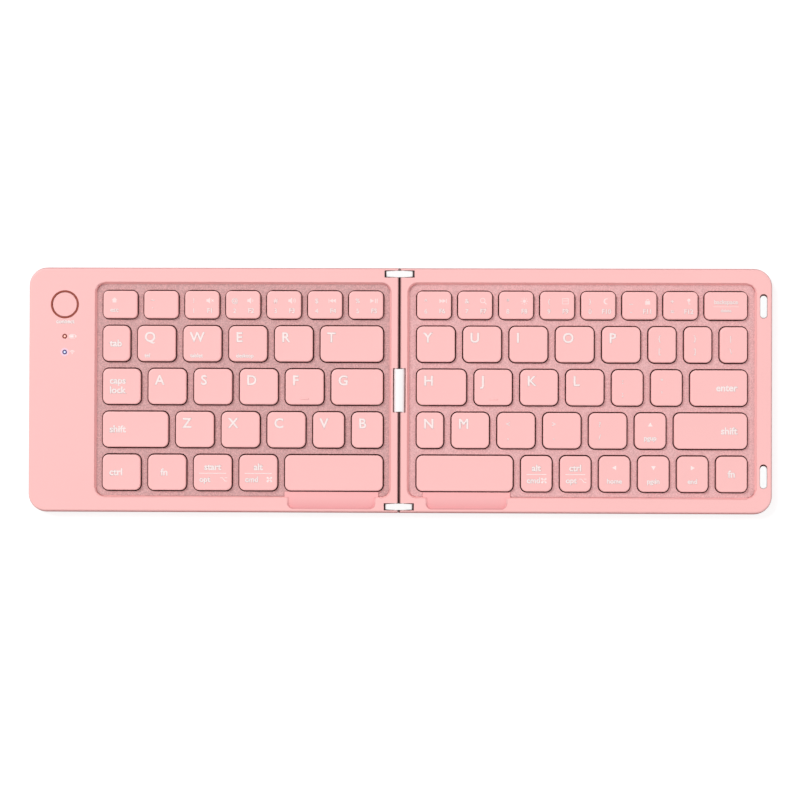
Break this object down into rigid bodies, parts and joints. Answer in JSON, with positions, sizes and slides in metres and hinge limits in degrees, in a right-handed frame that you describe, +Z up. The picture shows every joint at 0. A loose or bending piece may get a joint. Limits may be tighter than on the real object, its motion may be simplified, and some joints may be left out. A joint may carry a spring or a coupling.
{
  "type": "folding keyboard",
  "caption": "Slim wireless keyboard in two halves that fold shut like a book on a double hinge, with low square keys in sunken wells and a power button.",
  "frame": {"origin": "midpoint of the open keyboard's footprint, in the plane that its feet stand on; the fold line crosses it", "axes": "+X to the right along the open keyboard, +Y towards the rear edge behind the number row, +Z up out of the key tops"},
  "size_m": [0.305, 0.1006, 0.0075],
  "materials": {
    "case_plastic": "smooth satin pink plastic",
    "key_plastic": "smooth satin pink plastic with pale printed legends",
    "deck_plastic": "fine grained darker pink plastic",
    "white_plastic": "glossy white plastic",
    "white_rubber": "smooth white silicone",
    "dark_rubber": "dark matte rubber",
    "steel": "plain bright steel",
    "copper_ring": "thin copper coloured ring",
    "lens_plastic": "clear light lenses, one lit blue",
    "cell_foil": "foil wrapped lithium cell",
    "board": "green circuit board",
    "film": "thin amber cable film"
  },
  "bodies": {
    "left_half": {"left_bottom_case": "case_plastic", "left_top_case": "case_plastic", "left_key_deck": "deck_plastic", "left_backplate": "steel", "left_membrane": "dark_rubber", "left_scissors": "white_plastic", "battery": "cell_foil", "main_board": "board", "charging_socket": "steel", "power_ring": "copper_ring", "status_lenses": "lens_plastic", "left_feet": "dark_rubber", "left_screws": "steel"},
    "power_push": {"power_button": "case_plastic"},
    "hinge_link": {"hinge_links": "white_plastic", "hinge_pins": "steel", "cable_guard": "white_plastic", "flex_cable": "film"},
    "right_half": {"right_bottom_case": "case_plastic", "right_top_case": "case_plastic", "right_key_deck": "deck_plastic", "right_backplate": "steel", "right_membrane": "dark_rubber", "right_scissors": "white_plastic", "right_feet": "dark_rubber", "right_screws": "steel", "closing_bumpers": "white_rubber"},
    "q_cap": {"key_q": "key_plastic"},
    "w_cap": {"key_w": "key_plastic"},
    "e_cap": {"key_e": "key_plastic"},
    "r_cap": {"key_r": "key_plastic"},
    "t_cap": {"key_t": "key_plastic"},
    "a_cap": {"key_a": "key_plastic"},
    "s_cap": {"key_s": "key_plastic"},
    "d_cap": {"key_d": "key_plastic"},
    "f_cap": {"key_f": "key_plastic"},
    "g_cap": {"key_g": "key_plastic"},
    "z_cap": {"key_z": "key_plastic"},
    "x_cap": {"key_x": "key_plastic"},
    "c_cap": {"key_c": "key_plastic"},
    "v_cap": {"key_v": "key_plastic"},
    "b_cap": {"key_b": "key_plastic"},
    "left_space_cap": {"left_space_key": "key_plastic"},
    "left_numbers_cap": {"left_number_keys": "key_plastic"},
    "left_sides_cap": {"left_side_keys": "key_plastic"},
    "y_cap": {"key_y": "key_plastic"},
    "u_cap": {"key_u": "key_plastic"},
    "i_cap": {"key_i": "key_plastic"},
    "o_cap": {"key_o": "key_plastic"},
    "p_cap": {"key_p": "key_plastic"},
    "h_cap": {"key_h": "key_plastic"},
    "j_cap": {"key_j": "key_plastic"},
    "k_cap": {"key_k": "key_plastic"},
    "l_cap": {"key_l": "key_plastic"},
    "n_cap": {"key_n": "key_plastic"},
    "m_cap": {"key_m": "key_plastic"},
    "right_space_cap": {"right_space_key": "key_plastic"},
    "right_numbers_cap": {"right_number_keys": "key_plastic"},
    "right_symbols_cap": {"right_symbol_keys": "key_plastic"},
    "right_sides_cap": {"right_side_keys": "key_plastic"}
  },
  "joints": [
    {"name": "left_fold", "type": "hinge", "parent": "hinge_link", "child": "left_half", "pos_m": [-0.0015, 0, 0.0059], "axis": [0, 1, 0], "range_deg": [0, 90], "deforming": ["flex_cable"]},
    {"name": "right_fold", "type": "hinge", "parent": "hinge_link", "child": "right_half", "pos_m": [0.0015, 0, 0.0059], "axis": [0, -1, 0], "range_deg": [0, 90]},
    {"name": "power_press", "type": "slide", "parent": "left_half", "child": "power_push", "axis": [0, 0, -1], "range_m": [0, 0.0004], "stiffness_N_per_m": 800, "springref_m": -0.0012},
    {"name": "q_press", "type": "slide", "parent": "left_half", "child": "q_cap", "axis": [0, 0, -1], "range_m": [0, 0.0012], "stiffness_N_per_m": 150, "springref_m": -0.002, "deforming": ["left_membrane", "left_scissors"]},
    {"name": "w_press", "type": "slide", "parent": "left_half", "child": "w_cap", "axis": [0, 0, -1], "range_m": [0, 0.0012], "stiffness_N_per_m": 150, "springref_m": -0.002, "deforming": ["left_membrane", "left_scissors"]},
    {"name": "e_press", "type": "slide", "parent": "left_half", "child": "e_cap", "axis": [0, 0, -1], "range_m": [0, 0.0012], "stiffness_N_per_m": 150, "springref_m": -0.002, "deforming": ["left_membrane", "left_scissors"]},
    {"name": "r_press", "type": "slide", "parent": "left_half", "child": "r_cap", "axis": [0, 0, -1], "range_m": [0, 0.0012], "stiffness_N_per_m": 150, "springref_m": -0.002, "deforming": ["left_membrane", "left_scissors"]},
    {"name": "t_press", "type": "slide", "parent": "left_half", "child": "t_cap", "axis": [0, 0, -1], "range_m": [0, 0.0012], "stiffness_N_per_m": 150, "springref_m": -0.002, "deforming": ["left_membrane", "left_scissors"]},
    {"name": "a_press", "type": "slide", "parent": "left_half", "child": "a_cap", "axis": [0, 0, -1], "range_m": [0, 0.0012], "stiffness_N_per_m": 150, "springref_m": -0.002, "deforming": ["left_membrane", "left_scissors"]},
    {"name": "s_press", "type": "slide", "parent": "left_half", "child": "s_cap", "axis": [0, 0, -1], "range_m": [0, 0.0012], "stiffness_N_per_m": 150, "springref_m": -0.002, "deforming": ["left_membrane", "left_scissors"]},
    {"name": "d_press", "type": "slide", "parent": "left_half", "child": "d_cap", "axis": [0, 0, -1], "range_m": [0, 0.0012], "stiffness_N_per_m": 150, "springref_m": -0.002, "deforming": ["left_membrane", "left_scissors"]},
    {"name": "f_press", "type": "slide", "parent": "left_half", "child": "f_cap", "axis": [0, 0, -1], "range_m": [0, 0.0012], "stiffness_N_per_m": 150, "springref_m": -0.002, "deforming": ["left_membrane", "left_scissors"]},
    {"name": "g_press", "type": "slide", "parent": "left_half", "child": "g_cap", "axis": [0, 0, -1], "range_m": [0, 0.0012], "stiffness_N_per_m": 150, "springref_m": -0.002, "deforming": ["left_membrane", "left_scissors"]},
    {"name": "z_press", "type": "slide", "parent": "left_half", "child": "z_cap", "axis": [0, 0, -1], "range_m": [0, 0.0012], "stiffness_N_per_m": 150, "springref_m": -0.002, "deforming": ["left_membrane", "left_scissors"]},
    {"name": "x_press", "type": "slide", "parent": "left_half", "child": "x_cap", "axis": [0, 0, -1], "range_m": [0, 0.0012], "stiffness_N_per_m": 150, "springref_m": -0.002, "deforming": ["left_membrane", "left_scissors"]},
    {"name": "c_press", "type": "slide", "parent": "left_half", "child": "c_cap", "axis": [0, 0, -1], "range_m": [0, 0.0012], "stiffness_N_per_m": 150, "springref_m": -0.002, "deforming": ["left_membrane", "left_scissors"]},
    {"name": "v_press", "type": "slide", "parent": "left_half", "child": "v_cap", "axis": [0, 0, -1], "range_m": [0, 0.0012], "stiffness_N_per_m": 150, "springref_m": -0.002, "deforming": ["left_membrane", "left_scissors"]},
    {"name": "b_press", "type": "slide", "parent": "left_half", "child": "b_cap", "axis": [0, 0, -1], "range_m": [0, 0.0012], "stiffness_N_per_m": 150, "springref_m": -0.002, "deforming": ["left_membrane", "left_scissors"]},
    {"name": "left_space_press", "type": "slide", "parent": "left_half", "child": "left_space_cap", "axis": [0, 0, -1], "range_m": [0, 0.0012], "stiffness_N_per_m": 150, "springref_m": -0.002, "deforming": ["left_membrane", "left_scissors"]},
    {"name": "left_numbers_press", "type": "slide", "parent": "left_half", "child": "left_numbers_cap", "axis": [0, 0, -1], "range_m": [0, 0.0012], "stiffness_N_per_m": 150, "springref_m": -0.002, "deforming": ["left_membrane", "left_scissors"]},
    {"name": "left_sides_press", "type": "slide", "parent": "left_half", "child": "left_sides_cap", "axis": [0, 0, -1], "range_m": [0, 0.0012], "stiffness_N_per_m": 150, "springref_m": -0.002, "deforming": ["left_membrane", "left_scissors"]},
    {"name": "y_press", "type": "slide", "parent": "right_half", "child": "y_cap", "axis": [0, 0, -1], "range_m": [0, 0.0012], "stiffness_N_per_m": 150, "springref_m": -0.002, "deforming": ["right_membrane", "right_scissors"]},
    {"name": "u_press", "type": "slide", "parent": "right_half", "child": "u_cap", "axis": [0, 0, -1], "range_m": [0, 0.0012], "stiffness_N_per_m": 150, "springref_m": -0.002, "deforming": ["right_membrane", "right_scissors"]},
    {"name": "i_press", "type": "slide", "parent": "right_half", "child": "i_cap", "axis": [0, 0, -1], "range_m": [0, 0.0012], "stiffness_N_per_m": 150, "springref_m": -0.002, "deforming": ["right_membrane", "right_scissors"]},
    {"name": "o_press", "type": "slide", "parent": "right_half", "child": "o_cap", "axis": [0, 0, -1], "range_m": [0, 0.0012], "stiffness_N_per_m": 150, "springref_m": -0.002, "deforming": ["right_membrane", "right_scissors"]},
    {"name": "p_press", "type": "slide", "parent": "right_half", "child": "p_cap", "axis": [0, 0, -1], "range_m": [0, 0.0012], "stiffness_N_per_m": 150, "springref_m": -0.002, "deforming": ["right_membrane", "right_scissors"]},
    {"name": "h_press", "type": "slide", "parent": "right_half", "child": "h_cap", "axis": [0, 0, -1], "range_m": [0, 0.0012], "stiffness_N_per_m": 150, "springref_m": -0.002, "deforming": ["right_membrane", "right_scissors"]},
    {"name": "j_press", "type": "slide", "parent": "right_half", "child": "j_cap", "axis": [0, 0, -1], "range_m": [0, 0.0012], "stiffness_N_per_m": 150, "springref_m": -0.002, "deforming": ["right_membrane", "right_scissors"]},
    {"name": "k_press", "type": "slide", "parent": "right_half", "child": "k_cap", "axis": [0, 0, -1], "range_m": [0, 0.0012], "stiffness_N_per_m": 150, "springref_m": -0.002, "deforming": ["right_membrane", "right_scissors"]},
    {"name": "l_press", "type": "slide", "parent": "right_half", "child": "l_cap", "axis": [0, 0, -1], "range_m": [0, 0.0012], "stiffness_N_per_m": 150, "springref_m": -0.002, "deforming": ["right_membrane", "right_scissors"]},
    {"name": "n_press", "type": "slide", "parent": "right_half", "child": "n_cap", "axis": [0, 0, -1], "range_m": [0, 0.0012], "stiffness_N_per_m": 150, "springref_m": -0.002, "deforming": ["right_membrane", "right_scissors"]},
    {"name": "m_press", "type": "slide", "parent": "right_half", "child": "m_cap", "axis": [0, 0, -1], "range_m": [0, 0.0012], "stiffness_N_per_m": 150, "springref_m": -0.002, "deforming": ["right_membrane", "right_scissors"]},
    {"name": "right_space_press", "type": "slide", "parent": "right_half", "child": "right_space_cap", "axis": [0, 0, -1], "range_m": [0, 0.0012], "stiffness_N_per_m": 150, "springref_m": -0.002, "deforming": ["right_membrane", "right_scissors"]},
    {"name": "right_numbers_press", "type": "slide", "parent": "right_half", "child": "right_numbers_cap", "axis": [0, 0, -1], "range_m": [0, 0.0012], "stiffness_N_per_m": 150, "springref_m": -0.002, "deforming": ["right_membrane", "right_scissors"]},
    {"name": "right_symbols_press", "type": "slide", "parent": "right_half", "child": "right_symbols_cap", "axis": [0, 0, -1], "range_m": [0, 0.0012], "stiffness_N_per_m": 150, "springref_m": -0.002, "deforming": ["right_membrane", "right_scissors"]},
    {"name": "right_sides_press", "type": "slide", "parent": "right_half", "child": "right_sides_cap", "axis": [0, 0, -1], "range_m": [0, 0.0012], "stiffness_N_per_m": 150, "springref_m": -0.002, "deforming": ["right_membrane", "right_scissors"]}
  ],
  "couplings": [
    {"joint": "right_fold", "follows": "left_fold", "ratio": 1}
  ]
}
